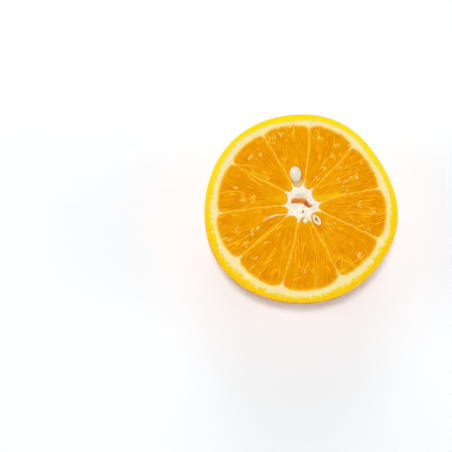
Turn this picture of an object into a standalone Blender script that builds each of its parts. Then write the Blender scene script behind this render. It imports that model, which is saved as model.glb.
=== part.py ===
"""Half of an orange, cut across its middle, lying on its round side with the cut face up.

It is one solid: peel, pith, ten segments of flesh, the core with its hollow, and three seeds.
Metres, +Z up. The origin is under the middle of the half, on the surface that it lies on.
"""

import math

import bmesh
import bpy
from mathutils import Matrix, Vector

MM = 0.001

# The whole fruit is an uneven ball, cut a little above its widest level.
MEAN_RADIUS = 38.0 * MM
POLE_HEIGHT = 37.0 * MM
CUT_ABOVE_WIDEST = 2.2 * MM
# Lobes of its outline: how many go round, how far each stands out, and the phase in degrees.
LOBES = ((3, 0.49 * MM, -71), (4, 0.13 * MM, -113), (5, 0.30 * MM, -22), (6, 0.11 * MM, -10))
PEEL_SIDES = 84
PEEL_RINGS = 42

# Where it lies, the fruit is pressed flat. The blossom end's scar is a dimple in that flat spot.
FLAT_DEPTH = 0.6 * MM
SCAR_RADIUS = 1.8 * MM
SCAR_DEPTH = 0.6 * MM

WIDEST_Z = POLE_HEIGHT - FLAT_DEPTH
CUT_Z = WIDEST_Z + CUT_ABOVE_WIDEST

# The middle line of each skin between two segments, counter-clockwise from +X:
# its end at the core, its end at the pith, and how far it bows to the left on its way out.
SEPTA = (
    ((7.3, 1.7), (30.4, 7.4), 0.8),
    ((4.1, 7.0), (20.3, 24.1), -0.6),
    ((1.1, 9.2), (3.6, 31.9), -0.6),
    ((-3.1, 8.3), (-14.6, 28.8), -0.2),
    ((-5.7, 6.0), (-26.7, 17.5), 0.2),
    ((-6.4, 0.7), (-31.8, -2.6), -0.4),
    ((-5.3, -3.2), (-24.0, -19.8), 0.2),
    ((-1.1, -5.5), (-7.7, -30.2), 0.5),
    ((3.5, -4.9), (14.3, -26.8), 0.2),
    ((7.2, -1.3), (29.5, -12.4), 0.1),
)
SEPTUM_GAP = 0.6 * MM
# How far out the flesh of each segment reaches, the first one after the first skin above.
FLESH_REACH = tuple(reach * MM for reach in (32.3, 33.7, 33.5, 33.4, 33.2, 34.0, 33.3, 33.0, 32.6, 33.6))
SCALLOP_POWER = 5.0
WELL_SIDES = 200
WELL_DEPTH = 0.45 * MM

# Each segment's flesh stands a little proud of the cut in its middle, with low ridges of sacs.
FLESH_EDGE_DROP = 0.2 * MM
FLESH_CROWN = 0.45 * MM
FLESH_ROOT = 1.5 * MM
FLESH_INTO_PITH = 0.2 * MM
FLESH_TIP_BULGE = 0.9 * MM
SAC_RIDGE = 0.09 * MM
SAC_RIDGES_ACROSS = 4
FLESH_STEPS_OUT = 14
FLESH_STEPS_ACROSS = 9

# The core is a low star-shaped cushion of pith. Its hollow is a slot below a shallow funnel.
CORE_CENTRE = (0.6, 1.5)
CORE_TOP = 0.3 * MM
CORE_HALF_HEIGHT = 1.6 * MM
CORE_ARM_OVERLAP = 0.6 * MM
CORE_BAY = 0.75
# Ellipsoids: middle, half sizes along, across and down, and the turn of the long side in degrees.
CORE_SLOT = ((0.4, 2.3), (4.4, 1.3, 6.5), -12)
CORE_FUNNEL = ((0.0, 4.4), (4.0, 2.6, 1.3), -6)
SEED_POCKET = ((-1.4, 11.3), (5.4, 2.8, 1.1), 102)

# Seeds: middle, half sizes, turn of the long side, and how far the top stands above the cut.
WHOLE_SEED = ((-2.1, 13.5), (3.4, 2.5, 1.9), 100, 1.1 * MM)
CUT_SEED = ((6.1, -5.1), (2.6, 1.8, 1.2), -57, 0.55 * MM)
SEED_SCRAP = ((1.6, -5.6), (1.2, 0.9, 0.8), -15, 0.45 * MM)
SEED_TAPER = 0.22


def lobes(angle):
    """How far the fruit's outline stands out from its mean radius at an angle."""
    return sum(size * math.cos(count * angle - math.radians(phase)) for count, size, phase in LOBES)


def outline_point(angle):
    """A point of the fruit's widest outline, about the fruit's own axis."""
    radius = MEAN_RADIUS + lobes(angle)
    return Vector((radius * math.cos(angle), radius * math.sin(angle)))


def fruit_axis():
    """Where the fruit's axis stands, so that the middle of its outline is at the origin."""
    points = [outline_point(math.tau * step / 720) for step in range(720)]
    middle = [(max(p[k] for p in points) + min(p[k] for p in points)) / 2 for k in (0, 1)]
    return -Vector(middle)


AXIS = fruit_axis()


def septum_point(number, along):
    """A point on the middle line of a skin: 0 is its end at the core and 1 its end at the pith."""
    core, pith, bow = SEPTA[number % len(SEPTA)]
    core = Vector(core) * MM
    pith = Vector(pith) * MM
    run = pith - core
    left = Vector((-run.y, run.x)).normalized()
    return core.lerp(pith, along) + left * (bow * MM * 4 * along * (1 - along))


def turn_of(point):
    return math.atan2(point.y, point.x) % math.tau


def flesh_edge(number, across):
    """A point where a segment's flesh meets the pith: 0 is at its first skin and 1 at its next."""
    first = septum_point(number, 1)
    last = septum_point(number + 1, 1)
    start = turn_of(first)
    turn = start + ((turn_of(last) - start) % math.tau) * across
    chord = first.length + (last.length - first.length) * across
    reach = FLESH_REACH[number] - (first.length + last.length) / 2
    radius = chord + reach * (1 - abs(2 * across - 1) ** SCALLOP_POWER)
    return Vector((radius * math.cos(turn), radius * math.sin(turn)))


def flesh_point(number, along, across):
    """A point in a segment's outline, from the core (along 0) to the pith (1), skin to skin."""
    first = septum_point(number, along)
    last = septum_point(number + 1, along)
    inset = min(0.4, SEPTUM_GAP / 2 / (last - first).length)
    across = inset + (1 - 2 * inset) * across
    point = first.lerp(last, across)
    chord = septum_point(number, 1).lerp(septum_point(number + 1, 1), across)
    outer = flesh_edge(number, across)
    outer += outer.normalized() * FLESH_INTO_PITH
    bulge = math.sin(math.pi * across) * FLESH_TIP_BULGE
    inward = (Vector(CORE_CENTRE) * MM - point).normalized()
    return point + (outer - chord) * along**2 + inward * bulge * (1 - along) ** 3


def flesh_height(along, across):
    """How high the flesh stands above the cut: crowned in its middle, with low ridges of sacs."""
    crown = (1 - abs(2 * across - 1) ** 3) * (1 - abs(2 * along - 1) ** 4)
    ridges = math.cos(math.tau * SAC_RIDGES_ACROSS * across) * math.cos(7 * along + 5 * across)
    return crown * (FLESH_CROWN + SAC_RIDGE * ridges) - FLESH_EDGE_DROP


def principled(name, colour, roughness):
    material = bpy.data.materials.new(name)
    material.use_nodes = True
    shader = material.node_tree.nodes["Principled BSDF"]
    shader.inputs["Base Color"].default_value = (*colour, 1)
    shader.inputs["Roughness"].default_value = roughness
    shader.inputs["Metallic"].default_value = 0
    return material


def add_object(name, shape, material, collection):
    """Turns a bmesh into a named object of a collection, with its normals facing out."""
    bmesh.ops.recalc_face_normals(shape, faces=shape.faces)
    mesh = bpy.data.meshes.new(name)
    shape.to_mesh(mesh)
    shape.free()
    mesh.materials.append(material)
    found = bpy.data.objects.new(name, mesh)
    collection.objects.link(found)
    return found


def new_collection(name):
    collection = bpy.data.collections.new(name)
    bpy.context.scene.collection.children.link(collection)
    return collection


def cut_flat(shape, height, keep_below):
    """Cuts a closed shape at a level and closes it there with one flat face."""
    everything = shape.verts[:] + shape.edges[:] + shape.faces[:]
    found = bmesh.ops.bisect_plane(
        shape,
        geom=everything,
        dist=1e-7,
        plane_co=(0, 0, height),
        plane_no=(0, 0, 1),
        clear_outer=keep_below,
        clear_inner=not keep_below,
    )
    edges = [item for item in found["geom_cut"] if isinstance(item, bmesh.types.BMEdge)]
    bmesh.ops.edgeloop_fill(shape, edges=edges)


def peel(material, collection):
    """The round body: a ball drawn out to the fruit's outline, cut at the top, flat underneath."""
    shape = bmesh.new()
    bmesh.ops.create_uvsphere(shape, u_segments=PEEL_SIDES, v_segments=PEEL_RINGS, radius=1)
    for vert in shape.verts:
        around = math.hypot(vert.co.x, vert.co.y)
        angle = math.atan2(vert.co.y, vert.co.x)
        radius = (MEAN_RADIUS + lobes(angle) * around) * around
        vert.co = (
            AXIS.x + radius * math.cos(angle),
            AXIS.y + radius * math.sin(angle),
            WIDEST_Z + POLE_HEIGHT * vert.co.z,
        )
    cut_flat(shape, CUT_Z, keep_below=True)
    cut_flat(shape, 0, keep_below=False)
    return add_object("orange_half", shape, material, collection)


def well(material, collection):
    """The cutter that sinks the flesh's scalloped outline a little below the cut."""
    shape = bmesh.new()
    bmesh.ops.create_circle(shape, cap_ends=True, segments=WELL_SIDES, radius=1)
    per_segment = WELL_SIDES // len(SEPTA)
    for step, vert in enumerate(shape.verts):
        edge = flesh_edge(step // per_segment, (step % per_segment) / per_segment)
        vert.co = (edge.x, edge.y, CUT_Z - WELL_DEPTH)
    found = bmesh.ops.extrude_face_region(shape, geom=shape.faces[:])
    raised = [item for item in found["geom"] if isinstance(item, bmesh.types.BMVert)]
    bmesh.ops.translate(shape, verts=raised, vec=(0, 0, 2 * WELL_DEPTH))
    return add_object("flesh_well_cutter", shape, material, collection)


def segment(number, material, collection):
    """One segment's flesh: a grid laid out over its outline, crowned, and given depth."""
    shape = bmesh.new()
    bmesh.ops.create_grid(shape, x_segments=FLESH_STEPS_OUT, y_segments=FLESH_STEPS_ACROSS, size=0.5)
    for vert in shape.verts:
        along = vert.co.x + 0.5
        across = vert.co.y + 0.5
        point = flesh_point(number, along, across)
        vert.co = (point.x, point.y, CUT_Z + flesh_height(along, across))
    found = bmesh.ops.extrude_face_region(shape, geom=shape.faces[:])
    for item in found["geom"]:
        if isinstance(item, bmesh.types.BMVert):
            item.co.z = CUT_Z - WELL_DEPTH - FLESH_ROOT
    return add_object(f"flesh_{number + 1:02d}", shape, material, collection)


def core(material, collection):
    """The pith cushion in the middle, with an arm towards each skin and a bay between arms."""
    centre = Vector(CORE_CENTRE) * MM
    arms = [septum_point(number, 0) - centre for number in range(len(SEPTA))]
    arms.sort(key=turn_of)
    shape = bmesh.new()
    bmesh.ops.create_uvsphere(shape, u_segments=60, v_segments=12, radius=1)
    for vert in shape.verts:
        angle = math.atan2(vert.co.y, vert.co.x) % math.tau
        after = next((k for k, arm in enumerate(arms) if turn_of(arm) > angle), 0)
        start = turn_of(arms[after - 1])
        share = ((angle - start) % math.tau) / ((turn_of(arms[after]) - start) % math.tau)
        reach = arms[after - 1].length * (1 - share) + arms[after].length * share
        bay = 1 - (1 - CORE_BAY) * math.sin(math.pi * share)
        radius = (reach + CORE_ARM_OVERLAP) * bay * math.hypot(vert.co.x, vert.co.y)
        vert.co = (
            centre.x + radius * math.cos(angle),
            centre.y + radius * math.sin(angle),
            CUT_Z + CORE_TOP - CORE_HALF_HEIGHT + CORE_HALF_HEIGHT * vert.co.z,
        )
    return add_object("core", shape, material, collection)


def ellipsoid(name, placing, height, material, collection, taper=0.0):
    """A lengthened ball at a place of the cut face. A taper draws its far end in."""
    middle, sizes, turn = placing
    shape = bmesh.new()
    bmesh.ops.create_uvsphere(shape, u_segments=24, v_segments=14, radius=1)
    for vert in shape.verts:
        narrowing = 1 - taper * (1 + vert.co.x) / 2
        vert.co = Vector((vert.co.x, vert.co.y * narrowing, vert.co.z * narrowing))
    bmesh.ops.scale(shape, verts=shape.verts, vec=Vector(sizes) * MM)
    bmesh.ops.rotate(shape, verts=shape.verts, matrix=Matrix.Rotation(math.radians(turn), 3, "Z"))
    bmesh.ops.translate(shape, verts=shape.verts, vec=(middle[0] * MM, middle[1] * MM, height))
    return add_object(name, shape, material, collection)


def seed(name, placing, material, collection):
    middle, sizes, turn, proud = placing
    height = CUT_Z + proud - sizes[2] * MM
    return ellipsoid(name, (middle, sizes, turn), height, material, collection, SEED_TAPER)


def scar_cutter(material, collection):
    """The dimple of the blossom end, in the flat spot underneath."""
    radius = (SCAR_RADIUS**2 + SCAR_DEPTH**2) / (2 * SCAR_DEPTH)
    shape = bmesh.new()
    bmesh.ops.create_uvsphere(shape, u_segments=24, v_segments=20, radius=radius)
    bmesh.ops.translate(shape, verts=shape.verts, vec=(AXIS.x, AXIS.y, SCAR_DEPTH - radius))
    return add_object("scar_cutter", shape, material, collection)


def boolean(body, collection, operation):
    """Applies one Boolean with a whole collection, and removes the collection's objects."""
    modifier = body.modifiers.new(collection.name, "BOOLEAN")
    modifier.operation = operation
    modifier.operand_type = "COLLECTION"
    modifier.collection = collection
    modifier.solver = "EXACT"
    modifier.material_mode = "TRANSFER"
    bpy.context.view_layer.objects.active = body
    bpy.ops.object.modifier_apply(modifier=modifier.name)
    for item in list(collection.objects):
        bpy.data.objects.remove(item, do_unlink=True)
    bpy.data.collections.remove(collection)


def main():
    for item in list(bpy.data.objects):
        bpy.data.objects.remove(item, do_unlink=True)
    peel_material = principled("orange_peel", (0.93, 0.44, 0.02), 0.45)
    flesh_material = principled("orange_flesh", (0.88, 0.36, 0.01), 0.3)
    pith_material = principled("orange_pith", (0.91, 0.78, 0.42), 0.6)
    seed_material = principled("orange_seed", (0.80, 0.74, 0.62), 0.45)

    half = peel(peel_material, new_collection("orange_half"))

    sunk = new_collection("sunk_outlines")
    well(pith_material, sunk)
    scar_cutter(peel_material, sunk)
    boolean(half, sunk, "DIFFERENCE")

    raised = new_collection("flesh_and_core")
    for number in range(len(SEPTA)):
        segment(number, flesh_material, raised)
    core(pith_material, raised)
    boolean(half, raised, "UNION")

    hollows = new_collection("hollows")
    ellipsoid("core_slot_cutter", CORE_SLOT, CUT_Z, pith_material, hollows)
    ellipsoid("core_funnel_cutter", CORE_FUNNEL, CUT_Z, pith_material, hollows)
    ellipsoid("seed_pocket_cutter", SEED_POCKET, CUT_Z, flesh_material, hollows)
    boolean(half, hollows, "DIFFERENCE")

    seeds = new_collection("seeds")
    seed("whole_seed", WHOLE_SEED, seed_material, seeds)
    seed("cut_seed", CUT_SEED, seed_material, seeds)
    seed("seed_scrap", SEED_SCRAP, seed_material, seeds)
    boolean(half, seeds, "UNION")

    half.data.shade_smooth()
    half.data.set_sharp_from_angle(angle=math.radians(40))


main()
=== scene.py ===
# %% [markdown]
# # Half an orange, cut face up
#
# An orange is a set of layers: a waxy skin full of oil glands, a soft white pith, and ten segments of
# flesh that meet at a pithy core. Cutting it across shows all of them at once, so this scene makes
# each layer as a closed body of its own and lets the cut face show how they meet.
#
# The plain solid of the half is loaded first, as a fixed frame. Everything that is made here stays in
# its place and stands for it.

# %% Load the frame
import math

import bmesh
import bpy
import numpy as np
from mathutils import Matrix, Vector, kdtree


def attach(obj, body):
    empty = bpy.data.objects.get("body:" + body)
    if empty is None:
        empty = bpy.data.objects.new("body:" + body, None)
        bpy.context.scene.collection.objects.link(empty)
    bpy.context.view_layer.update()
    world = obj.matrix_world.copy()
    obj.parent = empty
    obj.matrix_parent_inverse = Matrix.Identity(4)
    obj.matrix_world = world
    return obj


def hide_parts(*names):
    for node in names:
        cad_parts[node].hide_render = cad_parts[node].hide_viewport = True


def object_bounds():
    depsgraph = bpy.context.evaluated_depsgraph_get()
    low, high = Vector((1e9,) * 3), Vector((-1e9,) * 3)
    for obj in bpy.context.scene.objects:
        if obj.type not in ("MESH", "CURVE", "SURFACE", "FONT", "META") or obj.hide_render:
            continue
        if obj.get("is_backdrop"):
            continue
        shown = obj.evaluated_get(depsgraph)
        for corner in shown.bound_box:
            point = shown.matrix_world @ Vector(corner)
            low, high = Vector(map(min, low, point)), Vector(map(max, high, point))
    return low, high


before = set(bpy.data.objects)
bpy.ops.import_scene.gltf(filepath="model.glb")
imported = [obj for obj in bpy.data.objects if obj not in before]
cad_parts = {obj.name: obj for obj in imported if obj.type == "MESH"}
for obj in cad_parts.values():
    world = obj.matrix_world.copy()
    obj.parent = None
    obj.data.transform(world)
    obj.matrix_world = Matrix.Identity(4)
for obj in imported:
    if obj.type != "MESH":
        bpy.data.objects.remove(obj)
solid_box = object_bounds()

MM = 0.001
box_mm = [[round(v / MM, 1) for v in corner] for corner in solid_box]
print("nodes:", list(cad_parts), "box in mm:", box_mm)

# %% [markdown]
# ## The fruit's own sizes
#
# The outline of a real orange is never a circle. Here it is a mean radius with a few low lobes added,
# which is how a potter would describe a slightly uneven bowl. The cut lies a little above the widest
# level, and the weight of the fruit presses a small flat spot underneath.

# %% The outline and the cut
MEAN_RADIUS = 38.0 * MM
POLE_HEIGHT = 37.0 * MM
CUT_ABOVE_WIDEST = 2.2 * MM
FLAT_DEPTH = 0.6 * MM
WIDEST_Z = POLE_HEIGHT - FLAT_DEPTH
CUT_Z = WIDEST_Z + CUT_ABOVE_WIDEST
LOBES = ((3, 0.49 * MM, -71), (4, 0.13 * MM, -113), (5, 0.30 * MM, -22), (6, 0.11 * MM, -10))


def lobes(turn):
    """How far the outline stands out from the mean radius at a turn, in radians."""
    return sum(size * np.cos(count * turn - math.radians(phase)) for count, size, phase in LOBES)


def polar(radius, turn):
    return radius * np.cos(turn), radius * np.sin(turn)


def fruit_axis():
    """The place of the fruit's axis that puts the middle of its outline at the origin."""
    turn = np.linspace(0, math.tau, 720, endpoint=False)
    return [-(row.max() + row.min()) / 2 for row in polar(MEAN_RADIUS + lobes(turn), turn)]


AXIS = fruit_axis()
print("axis in mm:", [round(v / MM, 2) for v in AXIS], "cut at", round(CUT_Z / MM, 1))

# %% [markdown]
# ## The skins between the segments
#
# Each skin is a thin wall from the core to the pith. Its middle line is given by its two ends and by
# how far it bows to one side, because no two segments of an orange are the same. A slight waver is
# added, and the gap that the wall fills widens at both ends, where skin turns into pith.

# %% The ten walls
SEPTA = (
    ((7.3, 1.7), (30.4, 7.4), 0.8),
    ((4.1, 7.0), (20.3, 24.1), -0.6),
    ((1.1, 9.2), (3.6, 31.9), -0.6),
    ((-3.1, 8.3), (-14.6, 28.8), -0.2),
    ((-5.7, 6.0), (-26.7, 17.5), 0.2),
    ((-6.4, 0.7), (-31.8, -2.6), -0.4),
    ((-5.3, -3.2), (-24.0, -19.8), 0.2),
    ((-1.1, -5.5), (-7.7, -30.2), 0.5),
    ((3.5, -4.9), (14.3, -26.8), 0.2),
    ((7.2, -1.3), (29.5, -12.4), 0.1),
)
WALL_WAVER = 0.24 * MM
WALL_THICKNESS = 0.50 * MM
WALL_UNEVEN = 0.24 * MM
WALL_AT_CORE = 1.05 * MM
WALL_AT_PITH = 1.2 * MM
CORE_FLARE = 0.9 * MM
PITH_FLARE = 0.8 * MM


def swell(x, y, seed):
    """Smooth noise of -1 to 1 over a plane, with one swell for each unit of x and y."""
    lattice = np.random.default_rng(seed).uniform(-1, 1, (64, 64))
    x, y = np.broadcast_arrays(np.asarray(x, float), np.asarray(y, float))
    left, low = np.floor(x), np.floor(y)
    across, up = x - left, y - low
    across, up = across**2 * (3 - 2 * across), up**2 * (3 - 2 * up)
    i, j = left.astype(int) % 64, low.astype(int) % 64
    near = lattice[i, j] * (1 - across) + lattice[(i + 1) % 64, j] * across
    far = lattice[i, (j + 1) % 64] * (1 - across) + lattice[(i + 1) % 64, (j + 1) % 64] * across
    return near * (1 - up) + far * up


def smooth(low, high, value):
    """Goes smoothly from 0 at low to 1 at high."""
    share = np.clip((value - low) / (high - low), 0, 1)
    return share * share * (3 - 2 * share)


def line(start, end):
    """A line's start and run in metres, from two places in millimetres."""
    return np.array(start) * MM, (np.array(end) - np.array(start)) * MM


def wall_length(number):
    core, pith, _ = SEPTA[number % 10]
    return math.dist(core, pith) * MM


def wall_point(number, along, aside=0.0):
    """A point beside a wall's middle line: along is 0 at the core and 1 at the pith."""
    core, pith, bow = SEPTA[number % 10]
    start, run = line(core, pith)
    left = np.array((-run[1], run[0])) / np.hypot(*run)
    waver = WALL_WAVER * swell(along * 7, number % 10 + 0.5, 11) * smooth(0, 0.1, along)
    shift = bow * MM * 4 * along * (1 - along) + waver + aside
    return start[0] + run[0] * along + left[0] * shift, start[1] + run[1] * along + left[1] * shift


def half_wall(number, along):
    """Half a wall's thickness, uneven along it and flared at the core and at the pith."""
    run = wall_length(number)
    uneven = WALL_UNEVEN * swell(along * 11, number % 10 + 0.5, 12)
    at_core = (WALL_AT_CORE - WALL_THICKNESS) * np.exp(-along * run / CORE_FLARE)
    at_pith = (WALL_AT_PITH - WALL_THICKNESS) * np.exp(-(1 - along) * run / PITH_FLARE)
    return (WALL_THICKNESS + uneven + at_core + at_pith) / 2


print("walls, mm long:", [round(wall_length(number) / MM, 1) for number in range(10)])

# %% [markdown]
# ## Where flesh meets pith
#
# Seen from above, the flesh has a scalloped edge: each segment bulges into the pith, and the pith
# runs in to a point at each wall. The edge is a radius for each turn, so that the flesh and the pith
# can be shaped by the same rule and leave no gap.

# %% The scalloped edge
FLESH_REACH = (32.3, 33.7, 33.5, 33.4, 33.2, 34.0, 33.3, 33.0, 32.6, 33.6)
SCALLOP_POWER = 5.0
# Each wobble has a size, a count of swells over one scallop and a seed.
SCALLOP_WOBBLES = ((0.16 * MM, 9, 5), (0.19 * MM, 22, 6))


def turn_of(x, y):
    return np.arctan2(y, x) % math.tau


def in_order(turns, radii):
    """Joins rows of turns and radii into one table, in order of turn."""
    turns, radii = np.concatenate(turns), np.concatenate(radii)
    order = np.argsort(turns)
    return turns[order], radii[order]


def scallop_table():
    """The turn and the radius of the flesh's edge, sampled once round."""
    turns, radii = [], []
    share = np.linspace(0, 1, 80, endpoint=False)
    for number in range(10):
        first, last = wall_point(number, 1.0), wall_point(number + 1, 1.0)
        start = turn_of(*first)
        sweep = (turn_of(*last) - start) % math.tau
        ends = math.hypot(*first), math.hypot(*last)
        chord = ends[0] + (ends[1] - ends[0]) * share
        bulge = (FLESH_REACH[number] * MM - sum(ends) / 2) * (1 - np.abs(2 * share - 1) ** SCALLOP_POWER)
        wobble = sum(
            size * swell(share * count, number + 0.5, seed) for size, count, seed in SCALLOP_WOBBLES
        )
        wobble = wobble * smooth(0, 0.1, share) * smooth(1, 0.9, share)
        turns.append((start + sweep * share) % math.tau)
        radii.append(chord + bulge + wobble)
    return in_order(turns, radii)


EDGE_TURNS, EDGE_RADII = scallop_table()


def flesh_edge(turn):
    return np.interp(turn % math.tau, EDGE_TURNS, EDGE_RADII, period=math.tau)


print("flesh edge, mm:", round(EDGE_RADII.min() / MM, 1), "to", round(EDGE_RADII.max() / MM, 1))

# %% [markdown]
# ## Small tools for modelling
#
# A new primitive comes in selected, and the loaded solid is selected too, so everything is deselected
# first. Two helpers read and write all the points of a mesh at once, which lets one rule shape a
# surface of many thousand points in a moment. A third stores numbers for each point, such as how
# deep it lies under the skin, for a material to read. The last one says what a finished piece is.


# %% Modelling helpers
def start_piece(name, primitive, **settings):
    """Adds one of Blender's primitives as the start of a piece."""
    if bpy.context.object and bpy.context.object.mode != "OBJECT":
        bpy.ops.object.mode_set(mode="OBJECT")
    bpy.ops.object.select_all(action="DESELECT")
    getattr(bpy.ops.mesh, f"primitive_{primitive}_add")(**settings)
    piece = bpy.context.object
    piece.name = piece.data.name = name
    bpy.ops.object.transform_apply(location=True, rotation=True, scale=True)
    return piece


def points_of(piece):
    """The x, y and z of every point, as three rows."""
    flat = np.empty(len(piece.data.vertices) * 3)
    piece.data.vertices.foreach_get("co", flat)
    return flat.reshape(-1, 3).T.copy()


def set_points(piece, x, y, z):
    piece.data.vertices.foreach_set("co", np.stack([x, y, z]).T.ravel())
    piece.data.update()


def keep_numbers(piece, **rows):
    """Stores rows of one number for each point, under the names that a material reads them by."""
    for name, values in rows.items():
        row = piece.data.attributes.new(name, "FLOAT", "POINT")
        row.data.foreach_set("value", np.asarray(values, dtype=float))


def turned(x, y, degrees):
    """Places turned about the origin."""
    turn = math.radians(degrees)
    return x * math.cos(turn) - y * math.sin(turn), x * math.sin(turn) + y * math.cos(turn)


def edit(piece):
    """Opens a piece in edit mode with all of it selected."""
    bpy.ops.object.select_all(action="DESELECT")
    piece.select_set(True)
    bpy.context.view_layer.objects.active = piece
    bpy.ops.object.mode_set(mode="EDIT")
    bpy.ops.mesh.select_all(action="SELECT")


def finish_edit(piece, sharp_degrees=50):
    """Leaves edit mode, turns the faces outwards and shades them smooth but for sharp corners."""
    bpy.ops.mesh.select_all(action="SELECT")
    bpy.ops.mesh.normals_make_consistent(inside=False)
    bpy.ops.object.mode_set(mode="OBJECT")
    bpy.ops.object.shade_smooth_by_angle(angle=math.radians(sharp_degrees))


def dress(piece, slot, *finishes):
    """Gives a piece its finishes, and says that it moves with the plain half and stands for it."""
    for finish in finishes:
        piece.data.materials.append(finish)
    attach(piece, "root")
    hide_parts("orange_half")


print("one unit along x, turned by 30 degrees:", [round(v, 3) for v in turned(1.0, 0.0, 30)])

# %% [markdown]
# ## Colours and nodes
#
# Colours are written as the hex values that a paint program shows, and one function turns them into
# the linear values that light is added up in. Another adds a node with its settings and links. Fruit
# has no plain colours, so each finish here is painted in layers, as on paper: a base, and over it
# colours that fade in with a noise or with a number stored on the piece.


# %% Material helpers
LIGHT_REACH = 1.2 * MM


def colour(hex_value):
    """An sRGB hex value as linear red, green, blue and alpha."""
    parts = [int(hex_value[k : k + 2], 16) / 255 for k in (0, 2, 4)]
    return [p / 12.92 if p <= 0.04045 else ((p + 0.055) / 1.055) ** 2.4 for p in parts] + [1.0]


def add(tree, kind, inputs, out=0, **settings):
    """Adds a node with its settings. An input takes a value, a hex colour or another node's output."""
    made = tree.nodes.new("ShaderNode" + kind)
    for name, value in settings.items():
        setattr(made, name, value)
    for socket, value in inputs.items():
        if isinstance(value, bpy.types.NodeSocket):
            tree.links.new(value, made.inputs[socket])
        else:
            made.inputs[socket].default_value = colour(value) if isinstance(value, str) else value
    return made.outputs[out]


def new_material(name, roughness, shine=0.05, soft=0.0, soft_radius=(1, 0.8, 0.5), coat=0.0):
    """A Principled material with the numbers that are the same all over set on its own sockets."""
    material = bpy.data.materials.new(name)
    material.use_nodes = True
    shader = material.node_tree.nodes["Principled BSDF"]
    numbers = {
        "Roughness": roughness,
        "Specular IOR Level": shine,
        "Subsurface Weight": soft,
        "Subsurface Radius": soft_radius,
        "Subsurface Scale": LIGHT_REACH,
        "Coat Weight": coat,
        "Coat Roughness": 0.3,
    }
    for socket, value in numbers.items():
        shader.inputs[socket].default_value = value
    return material, material.node_tree, shader


def paint(tree, shader, base, layers):
    """Lays colours over a base, each fading in as its source goes from a low to a high value.

    A source is the name of a stored number, the size in millimetres of a noise's swells, or a
    node's output.
    """
    place, body = add(tree, "TexCoord", {}, "Object"), base
    for source, low, high, tint in layers:
        if isinstance(source, str):
            source = add(tree, "Attribute", {}, "Fac", attribute_name=source)
        elif isinstance(source, float):
            source = add(tree, "TexNoise", {0: place, 2: 1 / (source * MM), 3: 2.0})
        share = add(tree, "MapRange", {0: source, 1: low, 2: high}, interpolation_type="SMOOTHSTEP")
        body = add(tree, "Mix", {0: share, 6: body, 7: tint}, 2, data_type="RGBA")
    tree.links.new(body, shader.inputs["Base Color"])


def painted(name, base, layers, **numbers):
    """A material that needs no more than its numbers and its layers of colour."""
    material, tree, shader = new_material(name, **numbers)
    paint(tree, shader, base, layers)
    return material


print("orange flesh in linear light:", [round(part, 3) for part in colour("EE9A00")])

# %% [markdown]
# ## Rind: skin and pith
#
# On the fruit the skin and the pith are one rind. Its outer two millimetres hold oil glands and are
# yellow when they are cut; below them it is soft cream pith. The colour change isn't a line but
# follows the glands, so both layers share one rule: the colour at a point of the cut depends on its
# depth under the skin, with noise added to that depth.

# %% Rind colours
SKIN_WIDTHS = (
    (0, 2.2), (10, 1.9), (20, 1.8), (38, 2.3), (48, 1.8), (60, 1.9), (80, 2.2), (95, 2.55),
    (110, 2.1), (120, 2.2), (130, 1.75), (139, 2.0), (170, 2.35), (180, 2.0), (190, 2.4), (200, 2.7),
    (210, 2.2), (228, 2.9), (250, 2.1), (268, 1.8), (285, 2.2), (300, 2.7), (312, 2.3), (330, 2.8),
    (342, 1.9), (350, 2.6),
)
SKIN_THICKNESS = 2.2 * MM
GLAND_SPACING = 1.6 * MM
FRAY_SIZE = 1.3 * MM
FOAM_SIZE = 0.5 * MM


def skin_width(turn):
    """How thick the yellow layer is at a turn."""
    turns, widths = zip(*SKIN_WIDTHS)
    return np.interp(np.degrees(turn) % 360, turns, widths, period=360) * MM


def cut_rind():
    """Cut rind: yellow outside, dotted by glands, then cream, and painted deeper yellow low down as shade. It
    is a dry foam, with no gloss.
    """
    material, tree, shader = new_material("spongy_cut_rind", 0.8, 0.03, 0.2, (1, 0.8, 0.3))
    place = add(tree, "TexCoord", {}, "Object")
    share = add(tree, "Attribute", {}, "Fac", attribute_name="rind_share")
    # How low a place lies on the cut: it sets painted shade there, and more fraying and more dots.
    low = add(tree, "Attribute", {}, "Fac", attribute_name="rind_low")
    # Noise shifts the depth, and the more so low on the cut, which frays the border there.
    noise = add(tree, "TexNoise", {0: place, 2: 1 / FRAY_SIZE, 3: 3.0})
    noise = add(tree, "Math", {0: noise, 1: 0.5}, operation="SUBTRACT")
    reach = add(tree, "MapRange", {0: low, 3: 0.5, 4: 1.7})
    frayed = add(tree, "Math", {0: noise, 1: reach, 2: share}, operation="MULTIPLY_ADD")
    # A gland shows as a dot where a cell's middle is near the border of yellow and cream.
    glands = add(tree, "TexVoronoi", {0: place, 2: 1 / GLAND_SPACING}, "Distance")
    off_border = add(tree, "Math", {0: share, 1: 1.0}, operation="SUBTRACT")
    off_border = add(tree, "Math", {0: off_border}, operation="ABSOLUTE")
    dots = add(tree, "Math", {0: off_border, 1: 0.9, 2: glands}, operation="MULTIPLY_ADD")
    dots = add(tree, "Math", {0: low, 1: -0.22, 2: dots}, operation="MULTIPLY_ADD")
    layers = (
        # Painted shade: the yellow is deeper low on the cut, where less light falls.
        ("rind_low", 0.0, 1.0, "F9C800"),
        ("rind_depth", 0.4, 0.0, "F8BC00"),
        (frayed, 0.68, 1.10, "F8DC58"),
        (frayed, 0.94, 1.42, "F3E1A6"),
        ("flesh_near", 0.0, 1.0, "FBDB70"),
        (dots, 0.46, 0.20, "F3D41C"),
    )
    paint(tree, shader, "FBDD06", layers)
    grain = add(tree, "TexNoise", {0: place, 2: 1 / FOAM_SIZE, 3: 4.0})
    raised = add(tree, "Bump", {"Height": grain, "Strength": 0.6, "Distance": 0.12 * MM})
    tree.links.new(raised, shader.inputs["Normal"])
    return material


print("glands, mm apart:", round(GLAND_SPACING / MM, 2), "yellow layer, mm:", round(SKIN_THICKNESS / MM, 2))

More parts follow.
